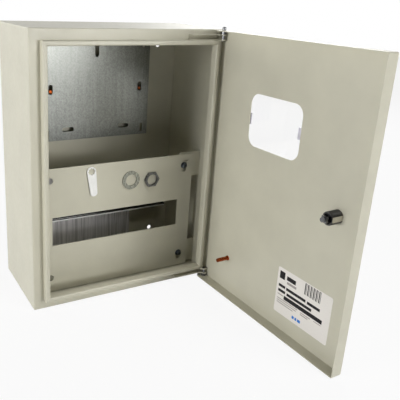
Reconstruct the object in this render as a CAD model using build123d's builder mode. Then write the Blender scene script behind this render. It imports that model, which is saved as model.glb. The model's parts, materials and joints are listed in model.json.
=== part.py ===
"""Wall-mounted steel meter enclosure with a hinged door, in millimetres.

Origin at the centre of the bottom face, +Z up, the door side towards -Y.
The door is built open, as it stands at rest, by turning its planes about the hinge axis.
"""
import os

from build123d import *

os.makedirs("parts", exist_ok=True)

# Cabinet
cabinet_width = 300.0
cabinet_height = 400.0
cabinet_depth = 140.0
sheet = 1.2
bend = 0.8
flange_width = 15.0
lip_reach = 12.0
lip_width = 6.5
lip_return = 11.5
weld_gap = 0.1
wall_hole = 7.5
wall_hole_inset_x = 35.0
wall_hole_inset_z = 34.0
wall_hole_drop = 1.5

# Door and hinges
door_inset = 0.6
door_stand = 18.0
rim_gap = 0.8
hinge_return = 7.5
hinge_edge = 11.1
hinge_reach = 11.8
door_open = 91.5
hinge_bracket_length = 48.0
hinge_bracket_width = 8.5
hinge_bracket_sheet = 1.2
hinge_bracket_set_back = 2.5
hinge_bracket_gap = 1.0
hinge_bracket_height = 8.5
hinge_eye = 9.0
hinge_neck = 5.0
pin_diameter = 5.5
pin_collar = 8.0
pin_tail = 1.0
pin_proud = 4.9
pin_chamfer = 0.6
pin_foot_gap = 0.2
pin_fit = 0.06
door_float = 0.3

# Window
window_width = 100.0
window_height = 75.0
window_radius = 15.0
window_x = 20.0
window_z = 283.0
pane_overlap = 8.0
pane_thickness = 1.5
clip_height = 16.0
clip_lap_hinge = 0.4
clip_lap_free = 7.6
clip_foot = 5.0
clip_thickness = 1.2
clip_gap = 0.1

# Lock
lock_x = -106.6
lock_z = 200.0
barrel_diameter = 17.4
barrel_flats = 15.6
barrel_length = 17.5
barrel_fit = 0.15
head_diameter = 22.0
head_thickness = 3.0
head_round = 1.0
end_recess_wall = 2.0
end_recess_depth = 4.0
plug_diameter = 11.0
plug_fit = 0.08
plug_recess = 3.5
drive_square = 8.0
drive_reach = 9.7
screw_end = 6.0
screw_end_reach = 3.5
key_slot_width = 2.2
key_slot_length = 7.5
key_slot_depth = 8.0
cam_thickness = 2.0
cam_head = 14.5
cam_tip = 11.5
cam_reach = 34.0
cam_lean = 6.9
cam_fit = 0.4
cam_x = -46.7
cam_drop = 10.6
lock_washer_outer = 29.5
lock_washer_play = 1.0
lock_washer_thickness = 1.5
lock_washer_x = 20.5
lock_washer_drop = 32.1
lock_nut_flats = 23.0
lock_nut_play = 0.3
lock_nut_thickness = 4.0
lock_nut_chamfer = 0.6
lock_nut_x = 57.0
lock_nut_drop = 35.1

# Door fittings
earth_stud_diameter = 6.0
earth_stud_length = 20.5
earth_stud_x = 87.7
earth_stud_z = 55.5
earth_stud_collar = 8.0
earth_stud_collar_height = 1.2
label_width = 97.5
label_height = 69.0
label_radius = 2.5
label_thickness = 0.2
label_x = -71.7
label_z = 59.7

# Meter plate
plate_sheet = 1.0
plate_standoff = 10.8
meter_plate_width = 189.0
meter_plate_height = 164.0
meter_plate_z = 298.5
slot_width = 7.0
keyhole_length = 15.5
keyhole_x = 77.3
centre_slot_length = 26.0
centre_slot_rise = 62.0
low_slot_length = 20.0
low_slot_x = 49.0
low_slot_drop = 64.8
corner_slot_length = 14.5
corner_slot_width = 5.0
corner_slot_inset = 11.5
corner_slot_drop = 70.5
plate_stud_diameter = 5.0
plate_stud_drop = 3.0
plate_stud_recess = 0.5

# Module row
module_row_z = 102.0
rail_drop = 4.4
rail_length = 268.0
rail_height = 35.0
rail_crown = 27.0
rail_depth = 7.5
rail_sheet = 1.0
rail_plate_width = 154.0
rail_plate_height = 132.0
rail_plate_shift = 10.0
rail_screw_x = 50.0
rail_screw_diameter = 5.0
rail_screw_head = 9.0
rail_screw_head_height = 2.8
rail_screw_length = 8.0
rail_nut_flats = 8.0
rail_nut_thickness = 4.0
rail_hole_play = 0.3

# Inner cover
cover_sheet = 1.0
cover_depth = 37.0
cover_side_gap = 15.8
cover_bottom = 3.0
cover_height = 198.0
cover_slot_width = 216.0
cover_slot_height = 45.0
cover_screw_inset_right = 16.5
cover_screw_inset_left = 10.0
cover_screw_low = 23.0
cover_screw_high = 18.5
cover_keyhole_drop = 6.3
cover_keyhole_run = 11.6
cover_keyhole_diameter = 10.0
cover_keyhole_neck = 5.6
seal_slit_width = 11.0
seal_slit_height = 1.6
seal_slit_rise = 7.8
seal_slit_offset = 3.0
bracket_sheet = 1.5
bracket_reach_right = 39.8
bracket_reach_left = 32.0
bracket_height = 41.0
bracket_leg = 20.0
bracket_boss = 12.0
bracket_boss_height = 2.0
cover_screw_diameter = 5.0
cover_screw_head = 8.0
cover_screw_head_height = 3.4
cover_screw_length = 14.0
cover_screw_round = 1.2
cover_washer_outer = 11.0
cover_washer_thickness = 1.0
cover_washer_play = 0.3
thread_fit = 0.1
cross_width = 1.2
cross_length = 4.6
cross_depth = 1.6

# Places that follow from the sizes above
mid_z = cabinet_height / 2
front_y = -cabinet_depth / 2
back_y = cabinet_depth / 2
back_inner_y = back_y - sheet
wall_x = cabinet_width / 2 - sheet
inner_width = cabinet_width - 2 * sheet
inner_height = cabinet_height - 2 * sheet
wall_hole_spacing_x = cabinet_width - 2 * wall_hole_inset_x
wall_hole_spacing_z = cabinet_height - 2 * wall_hole_inset_z
lip_outer_width = cabinet_width - 2 * flange_width
lip_outer_height = cabinet_height - 2 * flange_width
opening_width = lip_outer_width - 2 * lip_width
opening_height = lip_outer_height - 2 * lip_width
lip_top = cabinet_height - flange_width
lip_bottom = flange_width
outer_bend = bend + sheet
rim_bend = 0.9 * outer_bend
lip_bend = min(outer_bend, 0.4 * lip_width)

hinge_x = cabinet_width / 2 - hinge_edge
hinge_y = front_y - hinge_reach
door_swing = Pos(hinge_x, hinge_y) * Rot(Z=door_open) * Pos(-hinge_x, -hinge_y)
door_width = cabinet_width - 2 * door_inset
door_height = cabinet_height - 2 * door_inset
door_top = cabinet_height - door_inset
door_bottom = door_inset
door_outer_y = front_y - door_stand
door_inner_y = door_outer_y + sheet
door_rim_y = front_y - rim_gap
hinge_rim_y = door_outer_y + hinge_return
bracket_end_x = lip_outer_width / 2 - hinge_bracket_gap
bracket_front_y = front_y - lip_reach + hinge_bracket_set_back
bracket_top = lip_top + hinge_bracket_height
bracket_bottom = lip_bottom - hinge_bracket_height

barrel_end_y = door_inner_y + barrel_length
plug_front_y = door_outer_y - head_thickness
plug_core_y = barrel_end_y - plug_recess
plug_drive_y = plug_core_y + drive_reach
plug_end_y = plug_drive_y + screw_end_reach

plate_front_y = back_inner_y - plate_standoff
rail_front_y = plate_front_y - rail_depth
rail_web_front_y = plate_front_y - rail_sheet
rail_z = module_row_z - rail_drop

cover_width = inner_width - 2 * cover_side_gap
cover_top = cover_bottom + cover_height
cover_front_y = front_y + cover_depth
cover_back_y = cover_front_y + cover_sheet
bracket_face_y = cover_back_y + bracket_boss_height
cover_screw_right_x = cover_width / 2 - cover_screw_inset_right
cover_screw_left_x = cover_screw_inset_left - cover_width / 2
cover_low_z = cover_bottom + cover_screw_low
cover_high_z = cover_top - cover_screw_high


def facing(y):
    """Upright plane at depth y that looks to the front: local x is X, local y is Z."""
    return Plane.XZ.offset(-y)


def pair(x, z):
    """Two places at height z, at either side of the middle."""
    return [(-x, z), (x, z)]


def on_door(plane):
    """A plane of the closed door, turned with the door to its open position."""
    return Plane(door_swing * plane.location)


door_normal = Axis((0, 0, 0), on_door(facing(0)).z_dir)
cover_left_places = [(cover_screw_left_x, cover_low_z), (cover_screw_left_x, cover_high_z)]
cover_right_places = [(cover_screw_right_x, cover_low_z), (cover_screw_right_x, cover_high_z)]
cover_screw_places = cover_left_places + cover_right_places


# Cabinet shell: walls, front flange and the forward lip with its inner return
with BuildPart() as cabinet_shell:
    with BuildSketch(facing(back_y)):
        with Locations((0, mid_z)):
            RectangleRounded(cabinet_width, cabinet_height, outer_bend)
    extrude(amount=cabinet_depth)
    fillet(cabinet_shell.faces().sort_by(Axis.Y)[0].edges(), rim_bend)
    with BuildSketch(facing(back_y)):
        with Locations((0, mid_z)):
            RectangleRounded(inner_width, inner_height, bend)
    extrude(amount=cabinet_depth - sheet, mode=Mode.SUBTRACT)
    with BuildSketch(facing(front_y + sheet)):
        with Locations((0, mid_z)):
            Rectangle(lip_outer_width, lip_outer_height)
    extrude(amount=lip_reach + sheet)
    with BuildSketch(facing(front_y + sheet)):
        with Locations((0, mid_z)):
            Rectangle(opening_width, opening_height)
    extrude(amount=lip_reach + sheet, mode=Mode.SUBTRACT)
    with BuildSketch(facing(front_y + sheet)):
        with Locations((0, mid_z)):
            Rectangle(lip_outer_width - 2 * sheet, lip_outer_height - 2 * sheet)
            Rectangle(opening_width + 2 * sheet, opening_height + 2 * sheet, mode=Mode.SUBTRACT)
    extrude(amount=lip_reach, mode=Mode.SUBTRACT)
    with BuildSketch(facing(front_y + sheet)):
        with Locations((0, mid_z)):
            Rectangle(opening_width + 2 * sheet, opening_height + 2 * sheet)
    extrude(amount=sheet + lip_reach - lip_return, mode=Mode.SUBTRACT)
    fillet(cabinet_shell.faces().sort_by(Axis.Y)[0].edges(), lip_bend)
cabinet_shell.part.label = "cabinet_shell"
export_step(cabinet_shell.part, "parts/cabinet_shell.step")

# Back panel, welded inside the rear edge of the walls
with BuildPart() as back_panel:
    with BuildSketch(facing(back_y)):
        with Locations((0, mid_z)):
            RectangleRounded(inner_width - 2 * weld_gap, inner_height - 2 * weld_gap, bend)
        with Locations((0, mid_z - wall_hole_drop)):
            with GridLocations(wall_hole_spacing_x, wall_hole_spacing_z, 2, 2):
                Circle(wall_hole / 2, mode=Mode.SUBTRACT)
    extrude(amount=sheet)
back_panel.part.label = "back_panel"
export_step(back_panel.part, "parts/back_panel.step")

# Hinge brackets: channels on the lip, open to the front, with eyes that carry the pin
with BuildPart() as hinge_bracket_upper:
    with BuildSketch(Plane.XY.offset(lip_top), Plane.XY.offset(bracket_top - hinge_bracket_sheet)):
        with Locations((hinge_x, hinge_y)):
            Circle(hinge_eye / 2)
        with Locations((bracket_end_x, bracket_front_y)):
            Rectangle(hinge_neck, hinge_neck, align=(Align.MAX, Align.MIN))
        make_hull()
        with Locations((bracket_end_x, bracket_front_y)):
            Rectangle(hinge_bracket_length, hinge_bracket_width, align=(Align.MAX, Align.MIN))
        with Locations((hinge_x, hinge_y)):
            Circle(pin_diameter / 2 + pin_fit, mode=Mode.SUBTRACT)
    extrude(amount=hinge_bracket_sheet)
    with BuildSketch(Plane.XY.offset(lip_top)):
        with Locations((bracket_end_x, bracket_front_y + hinge_bracket_width)):
            Rectangle(hinge_bracket_length, hinge_bracket_sheet, align=(Align.MAX, Align.MAX))
    extrude(amount=hinge_bracket_height)
hinge_bracket_upper.part.label = "hinge_bracket_upper"
export_step(hinge_bracket_upper.part, "parts/hinge_bracket_upper.step")

with BuildPart() as hinge_bracket_lower:
    mirror(hinge_bracket_upper.part, about=Plane.XY.offset(mid_z))
hinge_bracket_lower.part.label = "hinge_bracket_lower"
export_step(hinge_bracket_lower.part, "parts/hinge_bracket_lower.step")

# Hinge pins: a shaft through the bracket and the door's return, with a collar between them
pin_top_z = door_top + pin_proud
with BuildPart() as hinge_pin_upper:
    with BuildSketch(Plane.XY.offset(lip_top - pin_tail)):
        with Locations((hinge_x, hinge_y)):
            Circle(pin_diameter / 2)
    extrude(amount=pin_top_z - lip_top + pin_tail)
    chamfer(hinge_pin_upper.faces().sort_by(Axis.Z)[-1].edges(), pin_chamfer)
    with BuildSketch(Plane.XY.offset(bracket_top)):
        with Locations((hinge_x, hinge_y)):
            Circle(pin_collar / 2)
    extrude(amount=door_top - sheet - door_float - bracket_top)
hinge_pin_upper.part.label = "hinge_pin_upper"
export_step(hinge_pin_upper.part, "parts/hinge_pin_upper.step")

with BuildPart() as hinge_pin_lower:
    with BuildSketch(Plane.XY.offset(pin_foot_gap)):
        with Locations((hinge_x, hinge_y)):
            Circle(pin_diameter / 2)
    extrude(amount=lip_bottom + pin_tail - pin_foot_gap)
    with BuildSketch(Plane.XY.offset(door_bottom + sheet + door_float)):
        with Locations((hinge_x, hinge_y)):
            Circle(pin_collar / 2)
    extrude(amount=bracket_bottom - door_bottom - sheet - door_float)
hinge_pin_lower.part.label = "hinge_pin_lower"
export_step(hinge_pin_lower.part, "parts/hinge_pin_lower.step")

# Cover brackets: welded angles, one in each corner behind the inner cover, which rests on their pressed bosses
for side_name, side, bracket_reach, screw_x in (
    ("left", -1, bracket_reach_left, cover_screw_left_x),
    ("right", 1, bracket_reach_right, cover_screw_right_x),
):
    inward = Align.MIN if side < 0 else Align.MAX
    for level_name, bracket_z in (("lower", cover_low_z), ("upper", cover_high_z)):
        with BuildPart() as cover_bracket:
            with BuildSketch(facing(bracket_face_y + bracket_sheet)):
                with Locations((side * wall_x, bracket_z)):
                    Rectangle(bracket_reach, bracket_height, align=(inward, Align.CENTER))
                with Locations((screw_x, bracket_z)):
                    Circle(cover_screw_diameter / 2 + thread_fit, mode=Mode.SUBTRACT)
            extrude(amount=bracket_sheet)
            with BuildSketch(facing(bracket_face_y)):
                with Locations((screw_x, bracket_z)):
                    Circle(bracket_boss / 2)
                    Circle(cover_screw_diameter / 2 + thread_fit, mode=Mode.SUBTRACT)
            extrude(amount=bracket_boss_height)
            with BuildSketch(facing(bracket_face_y + bracket_leg)):
                with Locations((side * wall_x, bracket_z)):
                    Rectangle(bracket_sheet, bracket_height, align=(inward, Align.CENTER))
            extrude(amount=bracket_leg)
        cover_bracket.part.label = f"cover_bracket_{level_name}_{side_name}"
        export_step(cover_bracket.part, f"parts/cover_bracket_{level_name}_{side_name}.step")

# Meter plate: a tray with top and bottom flanges spot-welded to the back panel
with BuildPart() as meter_plate:
    with BuildSketch(facing(back_inner_y)):
        with Locations((0, meter_plate_z)):
            Rectangle(meter_plate_width, meter_plate_height)
    extrude(amount=plate_standoff)
    with BuildSketch(facing(back_inner_y)):
        with Locations((0, meter_plate_z)):
            Rectangle(meter_plate_width, meter_plate_height - 2 * plate_sheet)
    extrude(amount=plate_standoff - plate_sheet, mode=Mode.SUBTRACT)
    with BuildSketch(facing(plate_front_y + plate_sheet)):
        with Locations(*pair(keyhole_x, meter_plate_z)):
            SlotOverall(keyhole_length, slot_width, rotation=90)
        with Locations((0, meter_plate_z + centre_slot_rise)):
            SlotOverall(centre_slot_length, slot_width, rotation=90)
        with Locations(*pair(low_slot_x, meter_plate_z - low_slot_drop)):
            SlotOverall(low_slot_length, slot_width)
        with Locations((0, meter_plate_z)):
            with GridLocations(meter_plate_width - 2 * corner_slot_inset, 2 * corner_slot_drop, 2, 2):
                SlotOverall(corner_slot_length, corner_slot_width, rotation=90)
    extrude(amount=plate_sheet, mode=Mode.SUBTRACT)
meter_plate.part.label = "meter_plate"
export_step(meter_plate.part, "parts/meter_plate.step")

# Copper-plated studs welded to the back panel, behind the keyholes of the plate
with BuildPart() as plate_studs:
    with BuildSketch(facing(back_inner_y)):
        with Locations(*pair(keyhole_x, meter_plate_z - plate_stud_drop)):
            Circle(plate_stud_diameter / 2)
    extrude(amount=plate_standoff - plate_stud_recess)
plate_studs.part.label = "plate_studs"
export_step(plate_studs.part, "parts/plate_studs.step")

# Rail plate: carries the module rail in front of the back panel
with BuildPart() as rail_plate:
    with BuildSketch(facing(back_inner_y)):
        with Locations((-rail_plate_shift, rail_z)):
            Rectangle(rail_plate_width, rail_plate_height)
    extrude(amount=plate_standoff)
    with BuildSketch(facing(back_inner_y)):
        with Locations((-rail_plate_shift, rail_z)):
            Rectangle(rail_plate_width, rail_plate_height - 2 * plate_sheet)
    extrude(amount=plate_standoff - plate_sheet, mode=Mode.SUBTRACT)
    with BuildSketch(facing(plate_front_y + plate_sheet)):
        with Locations(*pair(rail_screw_x, rail_z)):
            Circle(rail_screw_diameter / 2 + rail_hole_play)
    extrude(amount=plate_sheet, mode=Mode.SUBTRACT)
rail_plate.part.label = "rail_plate"
export_step(rail_plate.part, "parts/rail_plate.step")

# Module rail: a top-hat section with its web on the rail plate and its flanges to the front
with BuildPart() as din_rail:
    with BuildSketch(facing(plate_front_y)):
        with Locations((0, rail_z)):
            Rectangle(rail_length, rail_crown)
    extrude(amount=rail_depth)
    with BuildSketch(facing(rail_front_y + rail_sheet)):
        with Locations((0, rail_z)):
            Rectangle(rail_length, rail_height)
    extrude(amount=rail_sheet)
    with BuildSketch(facing(rail_web_front_y)):
        with Locations((0, rail_z)):
            Rectangle(rail_length, rail_crown - 2 * rail_sheet)
    extrude(amount=rail_depth, mode=Mode.SUBTRACT)
    with BuildSketch(facing(plate_front_y)):
        with Locations(*pair(rail_screw_x, rail_z)):
            Circle(rail_screw_diameter / 2 + rail_hole_play)
    extrude(amount=rail_sheet, mode=Mode.SUBTRACT)
din_rail.part.label = "din_rail"
export_step(din_rail.part, "parts/din_rail.step")

with BuildPart() as rail_screws:
    with BuildSketch(facing(rail_web_front_y + rail_screw_length)):
        with Locations(*pair(rail_screw_x, rail_z)):
            Circle(rail_screw_diameter / 2)
    extrude(amount=rail_screw_length)
    with BuildSketch(facing(rail_web_front_y)):
        with Locations(*pair(rail_screw_x, rail_z)):
            Circle(rail_screw_head / 2)
    extrude(amount=rail_screw_head_height)
    with BuildSketch(facing(rail_web_front_y - rail_screw_head_height + cross_depth)):
        with Locations(*pair(rail_screw_x, rail_z)):
            Rectangle(cross_length, cross_width)
            Rectangle(cross_width, cross_length)
    extrude(amount=cross_depth, mode=Mode.SUBTRACT)
rail_screws.part.label = "rail_screws"
export_step(rail_screws.part, "parts/rail_screws.step")

with BuildPart() as rail_nuts:
    with BuildSketch(facing(plate_front_y + plate_sheet + rail_nut_thickness)):
        with Locations(*pair(rail_screw_x, rail_z)):
            RegularPolygon(rail_nut_flats / 2, 6, major_radius=False)
            Circle(rail_screw_diameter / 2 + thread_fit, mode=Mode.SUBTRACT)
    extrude(amount=rail_nut_thickness)
rail_nuts.part.label = "rail_nuts"
export_step(rail_nuts.part, "parts/rail_nuts.step")

# Inner cover: a flat sheet with the module slot, a seal slit and keyholes for its screws,
# which run sideways at the left edge and downwards at the right edge
with BuildPart() as inner_cover:
    with BuildSketch(facing(cover_back_y)):
        with Locations((0, cover_bottom)):
            Rectangle(cover_width, cover_height, align=(Align.CENTER, Align.MIN))
        with Locations((0, module_row_z)):
            Rectangle(cover_slot_width, cover_slot_height, mode=Mode.SUBTRACT)
        with Locations(*cover_screw_places):
            Circle(cover_keyhole_neck / 2, mode=Mode.SUBTRACT)
        with Locations(*cover_left_places):
            Rectangle(
                cover_keyhole_run, cover_keyhole_neck, align=(Align.MIN, Align.CENTER), mode=Mode.SUBTRACT
            )
        with Locations(*cover_right_places):
            Rectangle(
                cover_keyhole_neck, cover_keyhole_drop, align=(Align.CENTER, Align.MAX), mode=Mode.SUBTRACT
            )
        with Locations(*[(x + cover_keyhole_run, z) for x, z in cover_left_places]):
            Circle(cover_keyhole_diameter / 2, mode=Mode.SUBTRACT)
        with Locations(*[(x, z - cover_keyhole_drop) for x, z in cover_right_places]):
            Circle(cover_keyhole_diameter / 2, mode=Mode.SUBTRACT)
        with Locations((cover_screw_right_x + seal_slit_offset, cover_high_z + seal_slit_rise)):
            Rectangle(seal_slit_width, seal_slit_height, mode=Mode.SUBTRACT)
    extrude(amount=cover_sheet)
inner_cover.part.label = "inner_cover"
export_step(inner_cover.part, "parts/inner_cover.step")

with BuildPart() as cover_washers:
    with BuildSketch(facing(cover_front_y)):
        with Locations(*cover_screw_places):
            Circle(cover_washer_outer / 2)
            Circle(cover_screw_diameter / 2 + cover_washer_play, mode=Mode.SUBTRACT)
    extrude(amount=cover_washer_thickness)
cover_washers.part.label = "cover_washers"
export_step(cover_washers.part, "parts/cover_washers.step")

# Cover screws: domed heads with a cross recess, on the washers
screw_seat_y = cover_front_y - cover_washer_thickness
with BuildPart() as cover_screws:
    with BuildSketch(facing(screw_seat_y)):
        with Locations(*cover_screw_places):
            Circle(cover_screw_head / 2)
    extrude(amount=cover_screw_head_height)
    fillet(cover_screws.edges().group_by(Axis.Y)[0], cover_screw_round)
    with BuildSketch(facing(screw_seat_y + cover_screw_length)):
        with Locations(*cover_screw_places):
            Circle(cover_screw_diameter / 2)
    extrude(amount=cover_screw_length)
    with BuildSketch(facing(screw_seat_y - cover_screw_head_height + cross_depth)):
        with Locations(*cover_screw_places):
            Rectangle(cross_length, cross_width)
            Rectangle(cross_width, cross_length)
    extrude(amount=cross_depth, mode=Mode.SUBTRACT)
cover_screws.part.label = "cover_screws"
export_step(cover_screws.part, "parts/cover_screws.step")

# Loose fittings of the lock, kept on the face of the inner cover
cam_place = Plane(
    facing(cover_front_y).location * Pos(cam_x, cover_top - cam_drop) * Rot(Z=cam_lean)
)
with BuildPart() as lock_cam:
    with BuildSketch(cam_place):
        Circle(cam_head / 2)
        with Locations((0, -cam_reach)):
            Circle(cam_tip / 2)
        make_hull()
        Rectangle(drive_square + cam_fit, drive_square + cam_fit, mode=Mode.SUBTRACT)
        Rectangle(drive_square + cam_fit, drive_square + cam_fit, rotation=45, mode=Mode.SUBTRACT)
    extrude(amount=cam_thickness)
lock_cam.part.label = "lock_cam"
export_step(lock_cam.part, "parts/lock_cam.step")

with BuildPart() as lock_washer:
    with BuildSketch(facing(cover_front_y)):
        with Locations((lock_washer_x, cover_top - lock_washer_drop)):
            Circle(lock_washer_outer / 2)
            Circle(barrel_diameter / 2 + lock_washer_play / 2, mode=Mode.SUBTRACT)
    extrude(amount=lock_washer_thickness)
lock_washer.part.label = "lock_washer"
export_step(lock_washer.part, "parts/lock_washer.step")

with BuildPart() as lock_nut:
    with BuildSketch(facing(cover_front_y)):
        with Locations((lock_nut_x, cover_top - lock_nut_drop)):
            RegularPolygon(lock_nut_flats / 2, 6, major_radius=False)
            Circle(barrel_diameter / 2 + lock_nut_play / 2, mode=Mode.SUBTRACT)
    extrude(amount=lock_nut_thickness)
    chamfer(lock_nut.faces().sort_by(Axis.Y)[0].outer_wire().edges(), lock_nut_chamfer)
lock_nut.part.label = "lock_nut"
export_step(lock_nut.part, "parts/lock_nut.step")

# Door panel: a folded pan, low along the hinge edge, its returns rounded about the pins
pan_depth = door_rim_y - door_outer_y
corner_radius = cabinet_width / 2 - door_inset - hinge_x
with BuildPart() as door_panel:
    with BuildSketch(on_door(facing(door_rim_y))):
        with Locations((0, mid_z)):
            RectangleRounded(door_width, door_height, outer_bend)
    extrude(amount=pan_depth)
    fillet(door_panel.faces().sort_by(door_normal)[-1].edges(), rim_bend)
    with BuildSketch(on_door(facing(door_rim_y))):
        with Locations((0, mid_z)):
            RectangleRounded(door_width - 2 * sheet, door_height - 2 * sheet, bend)
    extrude(amount=pan_depth - sheet, mode=Mode.SUBTRACT)
    with BuildSketch(on_door(facing(door_rim_y))):
        with Locations((door_width / 2, mid_z)):
            Rectangle(2 * outer_bend, door_height - 2 * sheet, align=(Align.MAX, Align.CENTER))
    extrude(amount=door_rim_y - hinge_rim_y, mode=Mode.SUBTRACT)
    with BuildSketch(on_door(Plane.XY.offset(door_bottom))):
        with Locations((door_width / 2, door_rim_y)):
            Rectangle(corner_radius, corner_radius, align=(Align.MAX, Align.MAX))
        with Locations((door_width / 2 - corner_radius, door_rim_y - corner_radius)):
            Circle(corner_radius, mode=Mode.SUBTRACT)
        with Locations((hinge_x, hinge_y)):
            Circle(pin_diameter / 2 + pin_fit)
    extrude(amount=door_height, mode=Mode.SUBTRACT)
    with BuildSketch(on_door(facing(door_inner_y))):
        with Locations((window_x, window_z)):
            RectangleRounded(window_width, window_height, window_radius)
    extrude(amount=sheet, mode=Mode.SUBTRACT)
    with BuildSketch(on_door(facing(door_inner_y))):
        with Locations((lock_x, lock_z)):
            Circle(barrel_diameter / 2 + barrel_fit)
            Rectangle(barrel_flats + 2 * barrel_fit, 2 * barrel_diameter, mode=Mode.INTERSECT)
    extrude(amount=sheet, mode=Mode.SUBTRACT)
door_panel.part.label = "door_panel"
export_step(door_panel.part, "parts/door_panel.step")

# Window pane on the outer face, and the two clips that hold it at mid height
pane_width = window_width + 2 * pane_overlap
pane_height = window_height + 2 * pane_overlap
with BuildPart() as window_pane:
    with BuildSketch(on_door(facing(door_outer_y))):
        with Locations((window_x, window_z)):
            RectangleRounded(pane_width, pane_height, window_radius + pane_overlap)
    extrude(amount=pane_thickness)
window_pane.part.label = "window_pane"
export_step(window_pane.part, "parts/window_pane.step")

pane_edge = pane_width / 2 + clip_gap
clip_reach = clip_foot + clip_gap + pane_overlap
with BuildPart() as pane_clips:
    for outward in (-1, 1):
        inner_align = Align.MIN if outward > 0 else Align.MAX
        outer_align = Align.MAX if outward > 0 else Align.MIN
        lap = clip_lap_hinge if outward > 0 else clip_lap_free
        with BuildSketch(on_door(facing(door_outer_y))):
            with Locations((window_x + outward * pane_edge, window_z)):
                Rectangle(clip_foot, clip_height, align=(inner_align, Align.CENTER))
        extrude(amount=pane_thickness)
        with BuildSketch(on_door(facing(door_outer_y - pane_thickness))):
            with Locations((window_x + outward * (pane_edge + clip_foot), window_z)):
                Rectangle(clip_reach + lap, clip_height, align=(outer_align, Align.CENTER))
        extrude(amount=clip_thickness)
pane_clips.part.label = "pane_clips"
export_step(pane_clips.part, "parts/pane_clips.step")

# Lock barrel: a head on the outer face and a body with two flats through the door
with BuildPart() as lock_barrel:
    with BuildSketch(on_door(facing(door_outer_y))):
        with Locations((lock_x, lock_z)):
            Circle(head_diameter / 2)
    extrude(amount=head_thickness)
    fillet(lock_barrel.faces().sort_by(door_normal)[-1].edges(), head_round)
    with BuildSketch(on_door(facing(barrel_end_y))):
        with Locations((lock_x, lock_z)):
            Circle(barrel_diameter / 2)
            Rectangle(barrel_flats, 2 * barrel_diameter, mode=Mode.INTERSECT)
    extrude(amount=barrel_end_y - door_outer_y)
    with BuildSketch(on_door(facing(barrel_end_y))):
        with Locations((lock_x, lock_z)):
            Circle(plug_diameter / 2 + plug_fit)
    extrude(amount=barrel_end_y - plug_front_y, mode=Mode.SUBTRACT)
    with BuildSketch(on_door(facing(barrel_end_y))):
        with Locations((lock_x, lock_z)):
            Circle(barrel_flats / 2 - end_recess_wall / 2)
    extrude(amount=end_recess_depth, mode=Mode.SUBTRACT)
lock_barrel.part.label = "lock_barrel"
export_step(lock_barrel.part, "parts/lock_barrel.step")

# Lock plug: the core that the key turns, with the square drive and threaded end for the cam
with BuildPart() as lock_plug:
    with BuildSketch(on_door(facing(plug_core_y))):
        with Locations((lock_x, lock_z)):
            Circle(plug_diameter / 2)
    extrude(amount=plug_core_y - plug_front_y)
    with BuildSketch(on_door(facing(plug_drive_y))):
        with Locations((lock_x, lock_z)):
            Rectangle(drive_square, drive_square)
            Circle(plug_diameter / 2, mode=Mode.INTERSECT)
    extrude(amount=drive_reach)
    with BuildSketch(on_door(facing(plug_end_y))):
        with Locations((lock_x, lock_z)):
            Circle(screw_end / 2)
    extrude(amount=screw_end_reach)
    with BuildSketch(on_door(facing(plug_front_y + key_slot_depth))):
        with Locations((lock_x, lock_z)):
            Rectangle(key_slot_width, key_slot_length)
    extrude(amount=key_slot_depth, mode=Mode.SUBTRACT)
lock_plug.part.label = "lock_plug"
export_step(lock_plug.part, "parts/lock_plug.step")

with BuildPart() as door_earth_stud:
    with BuildSketch(on_door(facing(door_inner_y + earth_stud_length))):
        with Locations((earth_stud_x, earth_stud_z)):
            Circle(earth_stud_diameter / 2)
    extrude(amount=earth_stud_length)
    with BuildSketch(on_door(facing(door_inner_y + earth_stud_collar_height))):
        with Locations((earth_stud_x, earth_stud_z)):
            Circle(earth_stud_collar / 2)
    extrude(amount=earth_stud_collar_height)
door_earth_stud.part.label = "door_earth_stud"
export_step(door_earth_stud.part, "parts/door_earth_stud.step")

with BuildPart() as door_label:
    with BuildSketch(on_door(facing(door_inner_y + label_thickness))):
        with Locations((label_x, label_z)):
            RectangleRounded(label_width, label_height, label_radius)
    extrude(amount=label_thickness)
door_label.part.label = "door_label"
export_step(door_label.part, "parts/door_label.step")
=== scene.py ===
"""Finishes a sheet-steel meter enclosure with its door open, and sets it on a pale studio floor.

The file is laid out as an add-on: property groups hold the sizes and colours, each operator makes or
finishes one group of pieces, and main() runs them in order.
"""
import json
import math

import bmesh
import bpy
import numpy as np
from mathutils import Euler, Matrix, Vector


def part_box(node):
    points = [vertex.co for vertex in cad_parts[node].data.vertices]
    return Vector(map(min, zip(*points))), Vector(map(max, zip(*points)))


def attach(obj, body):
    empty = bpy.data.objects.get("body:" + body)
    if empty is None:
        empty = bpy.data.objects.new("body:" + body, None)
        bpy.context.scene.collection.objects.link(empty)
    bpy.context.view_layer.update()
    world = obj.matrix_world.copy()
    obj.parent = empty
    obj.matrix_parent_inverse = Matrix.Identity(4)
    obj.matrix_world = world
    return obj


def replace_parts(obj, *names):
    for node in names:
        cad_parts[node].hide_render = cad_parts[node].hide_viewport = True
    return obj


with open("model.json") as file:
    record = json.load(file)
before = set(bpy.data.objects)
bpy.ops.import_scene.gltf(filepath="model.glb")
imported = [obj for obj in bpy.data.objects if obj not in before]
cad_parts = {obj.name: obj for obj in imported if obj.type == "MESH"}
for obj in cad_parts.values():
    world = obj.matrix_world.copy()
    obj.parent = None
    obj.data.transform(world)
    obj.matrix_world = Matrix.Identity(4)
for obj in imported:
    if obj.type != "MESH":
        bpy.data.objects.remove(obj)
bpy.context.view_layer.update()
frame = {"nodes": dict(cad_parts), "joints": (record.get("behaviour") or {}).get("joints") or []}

bl_info = {
    "name": "Meter enclosure finish",
    "version": (1, 0, 0),
    "blender": (4, 5, 0),
    "location": "3D View > Sidebar > Enclosure",
    "description": "Finishes and small pieces of a wall-mounted meter enclosure",
    "category": "Object",
}

MM = 0.001
FULL_TURN = 2 * math.pi
FINE_THREAD = 0.8
THREAD_ROWS = 8
STUD_SIDES = 40
BARREL_SIDES = 96
BEAD_SIDES = 12
EDGE_SEGMENTS = 3
PANE_MIRROR = 0.035


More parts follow.
